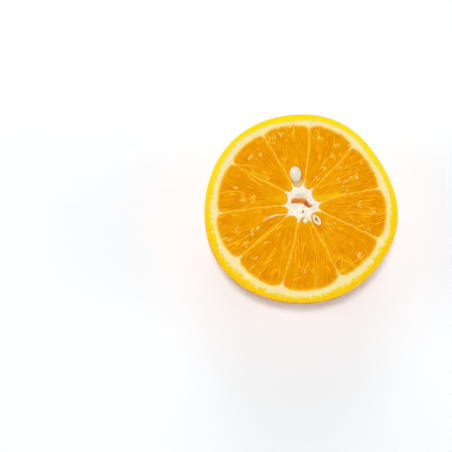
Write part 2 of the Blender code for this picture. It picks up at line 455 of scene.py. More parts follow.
# %% [markdown]
# ### The skin
#
# A fruit's skin starts as a ball. The bisect tool cuts it at two levels, at the cut and where it
# rests, and fills both. Insets then give the cut edge its width, and extruding the inner face down
# in steps hollows the shell. Only the unevenness of the real fruit and its pits are left, and those
# are moved in code, point by point. A simple subdivision halves each edge first, which is quicker than
# starting from a finer ball.

# %% The skin's shell
SKIN_SIDES = 270
SKIN_RINGS = 136
RIM_INSETS = 4
BOWL_STEPS = 12
SCAR_RADIUS = 1.8 * MM
SCAR_DEPTH = 0.6 * MM
SCAR_STEPS = (0.5, 0.4, 0.1)


def cut_level(height, **cleared):
    """Cuts what is selected at a height, fills the cut and clears one side of it."""
    bpy.ops.mesh.bisect(plane_co=(0, 0, height), plane_no=(0, 0, 1), use_fill=True, threshold=1e-7, **cleared)


def select_flat(piece, height, tolerance=1e-6):
    """Selects the faces that lie flat at a height."""
    bpy.ops.mesh.select_mode(type="FACE")
    bpy.ops.mesh.select_all(action="DESELECT")
    shape = bmesh.from_edit_mesh(piece.data)
    for face in shape.faces:
        if all(abs(vert.co.z - height) < tolerance for vert in face.verts):
            face.select_set(True)
    bmesh.update_edit_mesh(piece.data)


def bowl_rings(steps, radius, depth):
    """The radius and level of each ring of a bowl, from its widest level down to near its pole."""
    turns = np.linspace(0, math.pi / 2 * 0.97, steps)
    return [(radius * math.cos(turn), WIDEST_Z - depth * math.sin(turn)) for turn in turns]


def extrude_rings(rings, radius, level):
    """Extrudes what is selected through a list of rings, each with a radius and a level."""
    for next_radius, next_level in rings:
        bpy.ops.mesh.extrude_region_move(TRANSFORM_OT_translate={"value": (0, 0, next_level - level)})
        share = next_radius / radius
        bpy.ops.transform.resize(value=(share, share, 1), center_override=(0, 0, next_level))
        radius, level = next_radius, next_level


CUT_RADIUS = MEAN_RADIUS * math.sqrt(1 - (CUT_ABOVE_WIDEST / POLE_HEIGHT) ** 2)
skin = start_piece(
    "peel_skin",
    "uv_sphere",
    segments=SKIN_SIDES,
    ring_count=SKIN_RINGS,
    radius=MEAN_RADIUS,
    location=(0, 0, WIDEST_Z),
    scale=(1, 1, POLE_HEIGHT / MEAN_RADIUS),
)
edit(skin)
cut_level(CUT_Z, clear_outer=True)
bpy.ops.mesh.select_all(action="SELECT")
cut_level(0, clear_inner=True)
select_flat(skin, CUT_Z)
for _ in range(RIM_INSETS):
    bpy.ops.mesh.inset(thickness=SKIN_THICKNESS / RIM_INSETS)
inner_radius = CUT_RADIUS - SKIN_THICKNESS
inner_rings = bowl_rings(BOWL_STEPS, inner_radius, POLE_HEIGHT - SKIN_THICKNESS)
extrude_rings(inner_rings, inner_radius, CUT_Z)
select_flat(skin, 0)
flat_radius = MEAN_RADIUS * math.sqrt(1 - (WIDEST_Z / POLE_HEIGHT) ** 2)
bpy.ops.mesh.inset(thickness=flat_radius - SCAR_RADIUS)
for rise in SCAR_STEPS:
    bpy.ops.mesh.inset(thickness=SCAR_RADIUS * 0.25)
    bpy.ops.transform.translate(value=(0, 0, SCAR_DEPTH * rise))
finish_edit(skin)
halved = skin.modifiers.new("halved", "SUBSURF")
halved.subdivision_type = "SIMPLE"
bpy.ops.object.modifier_apply(modifier=halved.name)
print("skin faces:", len(skin.data.polygons))

# %% [markdown]
# Oil glands make the skin's pits. Their places come from a spiral that spreads points evenly over a
# ball, nudged a little so that they don't look machined. Each point of the skin then sinks by how
# near the closest pit is, and broad swells keep the whole from looking turned on a lathe.

# %% The skin's uneven form and its pits
PIT_SPACING = 1.8 * MM
PIT_DEPTH = 0.20 * MM
PIT_RADIUS = 0.85 * MM
PIT_SHARES = (0.55, 1.0)
SKIN_SWELL = 0.12 * MM
ON_SURFACE = 0.02 * MM
CUT_FADE = 0.8 * MM
FLAT_FADE = 1.5 * MM
LOW_REACH = 34 * MM


def depth_under_skin(x, y, z):
    """How deep a point of the even ball lies under its surface."""
    flat, up = np.hypot(x, y) / MEAN_RADIUS, (z - WIDEST_Z) / POLE_HEIGHT
    return MEAN_RADIUS * (1 - np.sqrt(flat**2 + up**2))


def lowness(y):
    """How near the photo's lower edge a place on the cut is, from 0 to 1."""
    return smooth(-LOW_REACH, LOW_REACH, -y)


def pit_centres(spacing, seed):
    """Points spread evenly over the ball by a spiral, each nudged aside."""
    count = int(4 * math.pi * MEAN_RADIUS**2 / (spacing**2 * 0.87))
    step = np.arange(count) + 0.5
    up = 1 - 2 * step / count
    turn = step * math.pi * (1 + math.sqrt(5))
    flat = np.sqrt(1 - up**2)
    places = np.stack([flat * np.cos(turn), flat * np.sin(turn), up]).T * MEAN_RADIUS
    return places + np.random.default_rng(seed).normal(0, spacing * 0.16, places.shape)


def nearest(places, wanted):
    """The distance from each wanted point to the nearest of the places, and that place's number."""
    tree = kdtree.KDTree(len(places))
    for number, place in enumerate(places):
        tree.insert(place, number)
    tree.balance()
    found = [tree.find(point) for point in wanted]
    return np.array([hit[2] for hit in found]), np.array([hit[1] for hit in found])


x, y, z = points_of(skin)
depth = depth_under_skin(x, y, z)
turn, flat = turn_of(x, y), np.hypot(x, y)
outside = (depth < ON_SURFACE) & (z < CUT_Z - 0.01 * MM) & (z > 0.01 * MM)
ball = np.stack([x, y, (z - WIDEST_Z) * MEAN_RADIUS / POLE_HEIGHT]).T
distance, pit = np.zeros(len(x)), np.zeros(len(x), int)
distance[outside], pit[outside] = nearest(pit_centres(PIT_SPACING, 3), ball[outside])
uneven = np.random.default_rng(4).uniform(*PIT_SHARES, pit.max() + 1)[pit]
fade = smooth(0, CUT_FADE, CUT_Z - z) * smooth(0, FLAT_FADE, z)
sunk = PIT_DEPTH * uneven * smooth(PIT_RADIUS, 0, distance) * fade * outside
broad = swell(x / (9 * MM) + z / (13 * MM), y / (9 * MM) - z / (11 * MM), 8) * 0.6
broad = broad + swell(x / (4 * MM) - z / (5 * MM), y / (4 * MM) + z / (6 * MM), 9) * 0.4
sunk = sunk - SKIN_SWELL * broad * fade * outside * smooth(0, 8 * MM, flat)
shift = lobes(turn) * np.clip(flat / MEAN_RADIUS, 0, 1) ** 2
extra = skin_width(turn) - SKIN_THICKNESS
shift = shift - np.where(depth > ON_SURFACE, extra * np.clip(depth / SKIN_THICKNESS, 0, 1), 0)
length = np.linalg.norm(ball, axis=1)
flat = flat + shift - sunk * flat / length
z = z - sunk * (z - WIDEST_Z) / length
x, y = polar(flat, turn)
set_points(skin, AXIS[0] + x, AXIS[1] + y, z)
keep_numbers(
    skin,
    rind_depth=depth / SKIN_THICKNESS * skin_width(turn) / MM,
    rind_share=depth / SKIN_THICKNESS,
    rind_low=lowness(y),
    pit_mm=np.where(outside, distance / MM / uneven, 9),
    scar=smooth(SCAR_RADIUS * 1.2, SCAR_RADIUS * 0.8, flat) * (z < FLAT_FADE),
)
print("pits on the skin:", len(np.unique(pit[outside])), "deepest, mm:", round(sunk.max() / MM, 2))

# %% [markdown]
# The skin is a waxy film over tiny glands. Wax gives a broad soft sheen, the glands a finer grain
# than the mesh holds, so a bump adds those. The colour is a warm orange, deeper in the pits, and at
# the cut edge the second finish takes over: a dry foam of loose cells with no gloss, finely rough.

# %% The skin's finish
SKIN_GRAIN = 0.55 * MM


def waxy_skin():
    """Wax over oil glands: a broad soft sheen, and a grain that is deeper in colour in its pits."""
    material, tree, shader = new_material("waxy_citrus_skin", 0.38, 0.2, 0.05, (1, 0.5, 0.1), coat=0.1)
    layers = (
        (9.0, 0.30, 0.70, "F8A402"),
        ("pit_mm", 0.95, 0.35, "EC9200"),
        ("pit_mm", 0.38, 0.12, "CC8404"),
        ("scar", 0.0, 1.0, "8E7A3E"),
    )
    paint(tree, shader, "F49400", layers)
    place = add(tree, "TexCoord", {}, "Object")
    grain = add(tree, "TexVoronoi", {0: place, 2: 1 / SKIN_GRAIN}, "Distance")
    raised = add(tree, "Bump", {"Height": grain, "Strength": 0.7, "Distance": 0.05 * MM})
    tree.links.new(raised, shader.inputs["Normal"])
    return material


cut_rind_finish = cut_rind()
dress(skin, "peel", waxy_skin(), cut_rind_finish)
centres = np.empty(len(skin.data.polygons) * 3)
skin.data.polygons.foreach_get("center", centres)
x, y, z = centres.reshape(-1, 3).T
on_cut = (z > CUT_Z - 0.05 * MM) | (depth_under_skin(x, y, z) > 1.0 * MM)
skin.data.polygons.foreach_set("material_index", on_cut.astype(np.int32))
print("skin faces with the cut finish:", int(on_cut.sum()))

# %% [markdown]
# ### The pith
#
# The pith is a soft cream bowl between the skin and the flesh. It starts as a disc whose rim is inset
# into rings, and both its inner face and its outer edge are extruded down into nested bowls. Then
# its rings are spread between the skin's inner edge and the scalloped edge of the flesh.

# %% The pith's bowl
PITH_SIDES = 720
PITH_INSETS = 9
PITH_INNER = 30.0 * MM
RIND_THICKNESS = 4.4 * MM
PITH_ROLL = 0.05 * MM
PITH_SETTLE = 0.10 * MM
FLESH_STAIN = 0.9 * MM


def select_open_edges():
    bpy.ops.mesh.select_all(action="DESELECT")
    bpy.ops.mesh.select_mode(type="EDGE")
    bpy.ops.mesh.select_non_manifold()


def skin_inner(turn):
    """The radius of the skin's inner edge, about the fruit's axis."""
    return CUT_RADIUS + lobes(turn) * (inner_radius / MEAN_RADIUS) ** 2 - skin_width(turn)


pith = start_piece(
    "pith", "circle", vertices=PITH_SIDES, radius=inner_radius, fill_type="NGON", location=(0, 0, CUT_Z)
)
edit(pith)
for _ in range(PITH_INSETS):
    bpy.ops.mesh.inset(thickness=(inner_radius - PITH_INNER) / PITH_INSETS)
extrude_rings(bowl_rings(BOWL_STEPS, PITH_INNER, POLE_HEIGHT - RIND_THICKNESS), PITH_INNER, CUT_Z)
select_open_edges()
extrude_rings(inner_rings, inner_radius, CUT_Z)
bpy.ops.mesh.edge_face_add()
finish_edit(pith)

x, y, z = points_of(pith)
turn, flat = turn_of(x, y), np.hypot(x, y)
on_outside = (flat / inner_radius) ** 2 + ((z - WIDEST_Z) / (POLE_HEIGHT - SKIN_THICKNESS)) ** 2 > 0.99
on_top = z > CUT_Z - 0.01 * MM
outer_x, outer_y = [axis + row for axis, row in zip(AXIS, polar(skin_inner(turn), turn))]
facing = turn_of(outer_x, outer_y)
inner_x, inner_y = polar(flesh_edge(facing), facing)
share = np.clip((inner_radius - flat) / (inner_radius - PITH_INNER), 0, 1)
top_x, top_y = outer_x + (inner_x - outer_x) * share, outer_y + (inner_y - outer_y) * share
shrink_in, shrink_out = np.clip(flat / PITH_INNER, 0, 1), np.clip(flat / inner_radius, 0, 1)
below_x = np.where(on_outside, AXIS[0] + (outer_x - AXIS[0]) * shrink_out, inner_x * shrink_in)
below_y = np.where(on_outside, AXIS[1] + (outer_y - AXIS[1]) * shrink_out, inner_y * shrink_in)
new_x, new_y = np.where(on_top, top_x, below_x), np.where(on_top, top_y, below_y)
roll = swell(new_x / (1.1 * MM), new_y / (1.1 * MM), 31) * PITH_ROLL
settle = PITH_SETTLE * smooth(0.55, 1.0, share)
set_points(pith, new_x, new_y, np.where(on_top, z + (roll - settle) * smooth(0, 0.1, share), z))
middle_x, middle_y = new_x - AXIS[0], new_y - AXIS[1]
under = CUT_RADIUS + lobes(turn_of(middle_x, middle_y)) - np.hypot(middle_x, middle_y)
off_flesh = np.hypot(new_x - inner_x, new_y - inner_y)
keep_numbers(
    pith,
    rind_depth=under / MM,
    rind_share=under / skin_width(turn_of(middle_x, middle_y)),
    rind_low=lowness(new_y),
    flesh_near=smooth(FLESH_STAIN, 0.1 * MM, off_flesh),
)
dress(pith, "pith", cut_rind_finish)
print("pith faces:", len(pith.data.polygons), "width on the cut, mm:", round(under.max() / MM, 1))

# %% [markdown]
# ## The flesh
#
# A segment is a wedge that narrows to the core. Its top is a grid: one side runs from the core to the
# pith, the other from wall to wall. The grid's border is extruded down in rings and filled, which
# closes the wedge, and all its points are then moved onto the real shape by one rule.

# %% A rule for every wedge
CORE_CENTRE = np.array((0.6, 1.5)) * MM
TIP_BULGE = (1.0, 0.7, 0.9, 0.75, 0.9, 0.8, 1.05, 1.4, 1.1, 0.35)
TIP_POWER = 2.2
TIP_FADE = 6
WEDGE_TURNS = np.linspace(0, math.radians(74), 8)
FLESH_EDGE_DROP = 0.08 * MM
FLESH_CROWN = 0.26 * MM


def open_grid(name, along_steps, across_steps):
    """A grid from 0 to 1 both ways, its border extruded down one unit for each ring, and closed."""
    piece = start_piece(
        name, "grid", x_subdivisions=along_steps, y_subdivisions=across_steps, size=1, location=(0.5, 0.5, 0)
    )
    edit(piece)
    select_open_edges()
    for _ in WEDGE_TURNS[1:]:
        bpy.ops.mesh.extrude_region_move(TRANSFORM_OT_translate={"value": (0, 0, -1)})
    bpy.ops.mesh.edge_face_add()
    finish_edit(piece)
    return piece


def wedge_levels(x, y, ring):
    """Brings the rings of a wedge onto the bowl that the pith makes round the flesh."""
    turn = WEDGE_TURNS[np.clip(np.round(-ring).astype(int), 0, len(WEDGE_TURNS) - 1)]
    limit = flesh_edge(turn_of(x, y)) * np.cos(turn)
    flat = np.hypot(x, y)
    keep = np.minimum(1, limit / flat)
    return x * keep, y * keep, WIDEST_Z - (POLE_HEIGHT - RIND_THICKNESS) * np.sin(turn)


def set_wedge(piece, x, y, z, ring):
    """Puts a wedge's top at the places given, and its rings below them on the bowl."""
    top = ring > -0.5
    rows = zip((x, y, z), wedge_levels(x, y, ring))
    set_points(piece, *[np.where(top, high, low) for high, low in rows])


def between_walls(number, along, across):
    """A place between the faces of two walls: across is 0 at the first and 1 at the second."""
    first_x, first_y = wall_point(number, along, half_wall(number, along))
    last_x, last_y = wall_point(number + 1, along, -half_wall(number + 1, along))
    return first_x + (last_x - first_x) * across, first_y + (last_y - first_y) * across


def segment_place(number, along, across):
    """Where a point of a segment lies: along runs from core to pith, across from wall to wall."""
    x, y = between_walls(number, along, across)
    end_x, end_y = between_walls(number, 1.0, across)
    reach = flesh_edge(turn_of(end_x, end_y)) / np.hypot(end_x, end_y)
    push = 1 + (reach - 1) * along**2
    middle = (np.array(wall_point(number, 0.0)) + np.array(wall_point(number + 1, 0.0))) / 2
    inward = (CORE_CENTRE - middle) / np.linalg.norm(CORE_CENTRE - middle)
    pull = TIP_BULGE[number] * MM * (1 - np.abs(2 * across - 1) ** TIP_POWER) * np.exp(-along * TIP_FADE)
    return x * push + inward[0] * pull, y * push + inward[1] * pull


print("first segment's tip, mm:", [round(float(v) / MM, 1) for v in segment_place(0, 0.0, 0.5)])

# %% [markdown]
# Inside a segment the juice sits in sacs, long spindles that lie along the segment and thin out
# towards the core. On the cut they are long cells. A cell pattern in a stretched frame gives them:
# each point belongs to the nearest of a lattice of jittered centres, and where the two nearest are
# as far away, there is a sac wall.

# %% The sacs
SAC_LENGTH = 10.0
SAC_WIDTH = 2.2
SAC_RELIEF = 0.07 * MM
FLOW_LEAN = (0.10, 0.02, 0.0, -0.05, 0.04, -0.10, 0.03, 0.0, -0.06, 0.10)
LATTICE = 64


def nearest_cells(across, up, seed, jitter=0.42):
    """For a jittered lattice: how far a point is from the border of its cell, and its cell's own number."""
    lattice = np.random.default_rng(seed).uniform(-jitter, jitter, (2, LATTICE, LATTICE))
    tints = np.random.default_rng(seed + 1).uniform(0, 1, (LATTICE, LATTICE))
    column, row = np.floor(across).astype(int), np.floor(up).astype(int)
    first, second = np.full(across.shape, 9.0), np.full(across.shape, 9.0)
    tint = np.zeros(across.shape)
    for i in (-1, 0, 1):
        for j in (-1, 0, 1):
            cell_i, cell_j = (column + i) % LATTICE, (row + j) % LATTICE
            brick = 0.3 * ((row + j) % 2)
            gap_x = column + i + 0.5 + brick + lattice[0, cell_i, cell_j] - across
            gap_y = row + j + 0.5 + lattice[1, cell_i, cell_j] - up
            gap = np.hypot(gap_x, gap_y)
            closer = gap < first
            second = np.where(closer, first, np.minimum(second, gap))
            tint = np.where(closer, tints[cell_i, cell_j], tint)
            first = np.where(closer, gap, first)
    return second - first, tint


print("sac width and length, mm:", SAC_WIDTH, SAC_LENGTH)

# %% [markdown]
# What the photo shows beyond the sacs is listed, in millimetres on the cut: pale strands,
# each with its two ends, a bow and a strength; clear yellow patches, each with a width and a
# strength; and a few round spots of redder pulp.

# %% Marks on the flesh
STRANDS = (
    ((-32.0, 5.5), (-21.5, 5.5), 1.1, 0.7), ((-26.4, 17.4), (-16.9, 16.2), 0.1, 0.8),
    ((-20.5, 16.2), (-19.5, 12.8), 1.0, 0.6), ((-14.6, 10.5), (-12.3, 11.5), 0.2, 0.8),
    ((-21.5, 13.5), (-15.0, 8.5), -0.3, 0.8), ((-12.9, 30.1), (-11.9, 25.3), 0.0, 0.8),
    ((-9.2, 31.1), (-7.6, 28.4), 0.1, 0.9), ((-3.0, 30.1), (-2.7, 26.0), 0.2, 0.6),
    ((-8.7, 19.9), (-5.0, 19.2), 0.2, 0.4), ((3.7, 9.1), (11.4, 17.2), 0.2, 0.5),
    ((7.4, 15.2), (13.5, 22.5), 0.3, 0.4), ((-23.2, -0.9), (-15.0, 2.8), 0.4, 0.6),
    ((-18.9, 3.8), (-18.6, 1.1), 0.1, 0.5), ((-30.2, -15.2), (-20.0, -10.8), -0.7, 0.7),
    ((-27.0, -10.5), (-17.5, -8.0), 0.2, 0.4), ((-9.8, -8.8), (-7.3, -6.9), 0.1, 0.9),
    ((-15.0, -14.7), (-12.8, -13.6), 0.1, 0.9), ((-20.6, -24.9), (-17.8, -22.7), 0.2, 0.9),
    ((-10.6, -12.2), (-7.9, -10.8), 0.2, 0.6), ((-5.1, -6.9), (-8.8, -28.5), -0.5, 0.4),
    ((-15.6, -26.3), (-9.5, -14.7), -0.3, 0.4), ((4.8, 8.0), (24.5, 11.9), -0.3, 0.5),
    ((5.3, 7.0), (27.0, 17.8), -0.4, 0.5), ((9.5, 6.0), (28.0, 10.0), 0.4, 0.4),
    ((16.6, -1.8), (29.1, 3.1), 1.3, 0.6), ((17.1, -1.5), (32.8, -2.8), -0.3, 0.7),
    ((19.5, -0.8), (29.0, -2.3), 0.3, 0.5), ((30.5, -0.8), (32.8, -2.8), 0.1, 0.7),
    ((17.1, -2.3), (21.3, -6.2), 0.4, 0.6), ((13.0, -22.0), (15.4, -19.2), 0.1, 0.8),
    ((15.6, -19.2), (15.3, -24.4), 0.2, 0.8), ((17.2, -24.4), (25.8, -18.2), 0.2, 0.7),
    ((11.0, -9.0), (22.0, -17.5), 0.4, 0.4), ((5.7, -31.1), (6.0, -26.8), 0.2, 0.7),
    ((-3.7, -29.2), (-0.8, -27.8), 0.1, 0.6), ((-1.0, -17.0), (-1.4, -12.0), 0.2, 0.6),
    ((3.2, -6.6), (6.7, -28.7), 0.5, 0.5),
)
STRAND_WIDTH = 0.22 * MM
STRAND_WAVER = 0.25 * MM
CLEAR_PATCHES = (
    ((5.6, 3.4), (14.8, 5.2), 1.2, 0.8),
    ((-13.4, -10.6), (-17.0, -13.6), 0.8, 0.9),
    ((-12.5, 11.5), (-19.5, 14.2), 0.5, 0.6),
    ((8.0, -11.0), (9.6, -16.0), 0.5, 0.6),
    ((-6.6, 3.2), (-9.5, 3.6), 1.6, 0.5),
    ((14.0, -26.0), (16.5, -25.0), 0.9, 0.8),
)
RED_SPOTS = (
    (7.7, -8.7, 1.5), (-30.4, -5.7, 1.6), (-0.1, -29.9, 1.3),
    (-14.0, -27.7, 1.5), (-18.1, -18.3, 1.0), (28.5, 1.5, 1.3),
)


def share_along(x, y, start, run):
    """How far along a line the place nearest to a point is, from 0 to 1."""
    return np.clip(((x - start[0]) * run[0] + (y - start[1]) * run[1]) / (run @ run), 0, 1)


def gap_from(x, y, start, run, share):
    """How far a point is from a place on a line."""
    return np.hypot(x - start[0] - run[0] * share, y - start[1] - run[1] * share)


def strand_share(x, y):
    """How close a point is to one of the pale strands, from 0 to 1."""
    share = np.zeros(np.shape(x))
    for start, end, bow, strength in STRANDS:
        start, run = line(start, end)
        length = np.hypot(*run)
        along = ((x - start[0]) * run[0] + (y - start[1]) * run[1]) / length**2
        aside = ((x - start[0]) * -run[1] + (y - start[1]) * run[0]) / length
        waver = STRAND_WAVER * swell(along * 4, start[0] / MM, 41)
        aside = aside - bow * MM * 4 * along * (1 - along) - waver
        ends = smooth(-0.04, 0.10, along) * smooth(1.04, 0.85, along)
        share = np.maximum(share, strength * ends * np.exp(-((aside / STRAND_WIDTH) ** 2)))
    return share


def patch_share(x, y):
    """How close a point is to one of the clear yellow patches, from 0 to 1."""
    share = np.zeros(np.shape(x))
    for start, end, width, strength in CLEAR_PATCHES:
        start, run = line(start, end)
        gap = gap_from(x, y, start, run, share_along(x, y, start, run)) / (width * MM)
        share = np.maximum(share, strength * np.exp(-(gap**2)))
    return share


def red_share(x, y):
    """How close a point is to one of the few spots of redder pulp, from 0 to 1."""
    spots = [((x - a * MM) ** 2 + (y - b * MM) ** 2) / (size * MM) ** 2 for a, b, size in RED_SPOTS]
    return sum(np.exp(-spot) for spot in spots)


print("strands:", len(STRANDS), "clear patches:", len(CLEAR_PATCHES), "red spots:", len(RED_SPOTS))

# %% [markdown]
# A segment's top is drawn by adding reliefs: it rises from its border to a low crown, dips at the
# walls between sacs, stands up in the strands and sinks where a seed lies. The same numbers are
# stored on the points, so that the colours follow the form.

# %% Shaping a segment
ALONG_STEPS, ACROSS_STEPS = 140, 104
SEED_POCKET = ((-1.5, 11.6), (5.2, 2.7, 1.1), 101)
CUT_SEED_POCKET = ((6.0, -5.0), (3.7, 2.5, 0.5), 123)
SCRAP_POCKET = ((1.2, -5.4), (1.9, 1.7, 0.3), 90)
CROWN_WIDTH = 3.5
TINT_RELIEF = 0.04 * MM
STRAND_RELIEF = 0.06 * MM


def pocket_drop(x, y, spot, sizes, turn_degrees):
    """How far an oval pocket sinks a surface: sizes are half its length, half its width, its depth."""
    along, aside = turned(x - spot[0] * MM, y - spot[1] * MM, -turn_degrees)
    return sizes[2] * MM * smooth(1.0, 0.35, np.hypot(along / (sizes[0] * MM), aside / (sizes[1] * MM)))


def flesh_segment(number):
    """One segment: its form, and the numbers that its colours follow."""
    piece = open_grid(f"flesh_{number + 1:02d}", ALONG_STEPS, ACROSS_STEPS)
    along, across, ring = points_of(piece)
    x, y = segment_place(number, along, across)
    length = wall_length(number) / MM
    width = math.dist(wall_point(number, 1.0), wall_point(number + 1, 1.0)) / MM
    # The flow is measured in millimetres, and swells bend it so that no two sacs lie alike.
    local = width * (0.30 + 0.70 * along)
    flow_along = along * length
    flow_aside = (across - 0.5) * (0.45 * width + 0.55 * local) + FLOW_LEAN[number] * flow_along
    flow_aside = flow_aside + 0.9 * swell(flow_along / 7, flow_aside / 5 + number, 51)
    flow_along = flow_along + 2.5 * swell(flow_along / 9, flow_aside / 2.5 + number * 3, 52)
    cell_aside, cell_along = flow_aside / SAC_WIDTH + 7 * number, flow_along / SAC_LENGTH + 3 * number
    border, tint = nearest_cells(cell_aside, cell_along, 61)
    edge = np.minimum(np.minimum(across, 1 - across) * local, (1 - along) * length)
    strand = strand_share(x, y)
    rise = FLESH_CROWN * smooth(0, CROWN_WIDTH, edge) - FLESH_EDGE_DROP
    rise = rise + SAC_RELIEF * (smooth(0, 0.5, border) - 0.6) * smooth(0, 0.8, edge)
    rise = rise + TINT_RELIEF * (tint - 0.5) + STRAND_RELIEF * strand
    hollows = [pocket_drop(x, y, *pocket) for pocket in (SEED_POCKET, CUT_SEED_POCKET, SCRAP_POCKET)]
    rise = rise - sum(hollows)
    set_wedge(piece, x, y, CUT_Z + rise, ring)
    keep_numbers(
        piece,
        sac_wall=smooth(0.22, 0.0, border) * smooth(0, 1.0, edge),
        sac_tint=tint,
        strand=strand,
        clear=patch_share(x, y),
        red=red_share(x, y),
        pocket=hollows[0] / SEED_POCKET[1][2] / MM * smooth(11.8 * MM, 10.2 * MM, y),
        # The next number marks the pockets round the cut seed and the scrap, where shadow is painted.
        olive=hollows[1] / CUT_SEED_POCKET[1][2] / MM + hollows[2] / SCRAP_POCKET[1][2] / MM,
        pith_mm=(1 - along) * length,
        side_mm=np.minimum(across, 1 - across) * local,
        tip_mm=along * length,
        flow_along=flow_along,
        flow_aside=flow_aside,
    )
    return piece


segments = [flesh_segment(number) for number in range(10)]
print("segments:", len(segments), "flesh faces in each:", len(segments[0].data.polygons))

# %% [markdown]
# Pulp is wet and clear. Fibres are noise in a frame that is stretched along the flow, and the walls
# between sacs are pale only here and there. Towards the pith and the skins the flesh is yellower.

# %% The flesh's finish
FIBRE_WIDTH, FIBRE_LENGTH = 0.55, 5.5


def juicy_flesh():
    """Wet pulp: a clear orange body with fibres drawn along the flow and pale walls between sacs."""
    material, tree, shader = new_material("juicy_orange_flesh", 0.3, 0.004, 0.1, (0.4, 0.2, 0.02))
    aside = add(tree, "Attribute", {}, "Fac", attribute_name="flow_aside")
    along = add(tree, "Attribute", {}, "Fac", attribute_name="flow_along")
    flow = add(tree, "CombineXYZ", {0: aside, 1: along})
    drawn = add(tree, "Mapping", {0: flow, 3: (1 / FIBRE_WIDTH, 1 / FIBRE_LENGTH, 1)})
    fibre = add(tree, "TexNoise", {0: drawn, 2: 1.0, 3: 4.0})
    hair = add(tree, "TexNoise", {0: drawn, 2: 1.7, 3: 2.0})
    place = add(tree, "TexCoord", {}, "Object")
    clouds = add(tree, "TexNoise", {0: place, 2: 1 / (4.5 * MM), 3: 1.0})
    clear_clouds = add(tree, "MapRange", {0: clouds, 1: 0.42, 2: 0.66})
    wall = add(tree, "Attribute", {}, "Fac", attribute_name="sac_wall")
    wall = add(tree, "Math", {0: wall, 1: clear_clouds}, operation="MULTIPLY")
    layers = (
        (6.0, 0.35, 0.68, "E79900"),
        (3.4, 0.56, 0.78, "E07E00"),
        ("sac_tint", 0.3, 2.4, "EFA200"),
        (fibre, 0.44, 0.66, "EA9C00"),
        (fibre, 0.66, 0.86, "F2AA04"),
        (hair, 0.56, 0.72, "F6B010"),
        (wall, 0.0, 1.0, "F5B212"),
        ("tip_mm", 4.0, 0.0, "EBAA04"),
        ("side_mm", 0.9, 0.0, "EFA60C"),
        ("pith_mm", 0.9, 0.0, "F3B422"),
        ("red", 0.0, 1.6, "E67A00"),
        ("clear", 0.0, 1.0, "F2C012"),
        # Painted shadow in the pockets round the cut seed and the scrap.
        ("olive", 0.0, 1.4, "B89A1E"),
        ("strand", 0.0, 1.0, "FFC22C"),
        ("pocket", 0.0, 1.0, "DCC992"),
    )
    paint(tree, shader, "DF8700", layers)
    raised = add(tree, "Bump", {"Height": fibre, "Strength": 0.25, "Distance": 0.05 * MM})
    tree.links.new(raised, shader.inputs["Normal"])
    return material


flesh_finish = juicy_flesh()
for segment in segments:
    dress(segment, "flesh", flesh_finish)
print("pieces with the flesh's finish:", len(segments))

# %% [markdown]
# ### The skins between the segments
#
# Each skin is a thin closed wall made by the same rule as a wedge. It stands a hair above the flesh
# beside it, as it does when a knife has gone through both, and it is cream at its ends and yellow
# between them.

# %% Ten skins
SKIN_STEPS = 120
SKIN_RISE = 0.03 * MM
SKIN_BASE = 0.06 * MM
SKIN_CROWN = 0.11 * MM
SKIN_DIP = 0.25 * MM
DIP_LENGTH = 0.6 * MM
PAST_PITH = 1.0 * MM


def membrane(number):
    """A thin wall that runs a little way into the pith, and dips under it there."""
    piece = open_grid(f"membrane_{number + 1:02d}", SKIN_STEPS, 6)
    along, across, ring = points_of(piece)
    length = wall_length(number)
    reach = 1 + PAST_PITH / length
    along = along * reach
    half = half_wall(number, np.clip(along, 0, 1))
    x, y = wall_point(number, along, (across - 0.5) * 2 * half)
    round_off = 1 - (2 * across - 1) ** 2
    lift = SKIN_RISE * swell(along * 12, number + 0.5, 71) - SKIN_BASE + SKIN_CROWN * round_off
    lift = lift - SKIN_DIP * smooth(1 - DIP_LENGTH / length, reach, along)
    set_wedge(piece, x, y, CUT_Z + lift, ring)
    keep_numbers(piece, tip_mm=along * length / MM, pith_mm=(1 - along) * length / MM)
    return piece


# A wet, thin skin: smooth, with a faint glow from within, and cream where it turns to pith.
layers = ((1.6, 0.42, 0.68, "FFCC42"), ("tip_mm", 1.3, 0.0, "F8EAC4"), ("pith_mm", 1.3, 0.0, "F6D98C"))
membrane_finish = painted(
    "wet_membrane", "F9B41C", layers, roughness=0.3, shine=0.04, soft=0.15, soft_radius=(1, 0.6, 0.1)
)
for number in range(10):
    skin_between = membrane(number)
    dress(skin_between, "membrane", membrane_finish)
print("membrane faces:", len(skin_between.data.polygons))

# %% [markdown]
# ### The core
#
# The core is a star of white pith that has split, which leaves a hollow. Its outline follows the tips
# of the flesh and the ends of the walls. A disc with inset rings gives enough points, and its depth
# is drawn by a few plain shapes: a soft funnel, a hollow with a known outline and one small pit.

# %% The core's star
CORE_SIDES = 360
CORE_RINGS = 44
CORE_RADIUS = 8.0 * MM
CORE_DEPTH = 26.0 * MM
HOLLOW_NORTH = (
    (-3.9, 2.7), (-3.6, 3.6), (-2.2, 4.1), (0.2, 4.1), (1.7, 4.1), (2.3, 3.4),
    (2.7, 2.1), (3.3, 1.3), (4.4, 1.0),
)
HOLLOW_SOUTH = ((4.2, 0.4), (3.1, -0.15), (1.9, 0.6), (0.8, 1.4), (-0.5, 1.85), (-2.2, 1.75), (-3.7, 1.6))
CREVICES = (
    ((1.8, 6.3), (2.3, 4.4), 0.16),
    ((2.3, 4.4), (4.3, 2.6), 0.14),
    ((4.3, 1.0), (6.7, 1.2), 0.12),
    ((-4.6, 4.6), (-3.7, 3.4), 0.20),
    ((3.9, 4.6), (4.9, 3.2), 0.14),
    ((5.2, -0.6), (6.4, -1.4), 0.14),
)
HOLLOW_DEPTH = 2.2 * MM
FUNNEL = ((-0.3, 3.8), (3.2, 2.1, 0.8), -2)
CORE_PIT = ((0.75, -1.75), (1.0, 0.6, 0.4), 65)


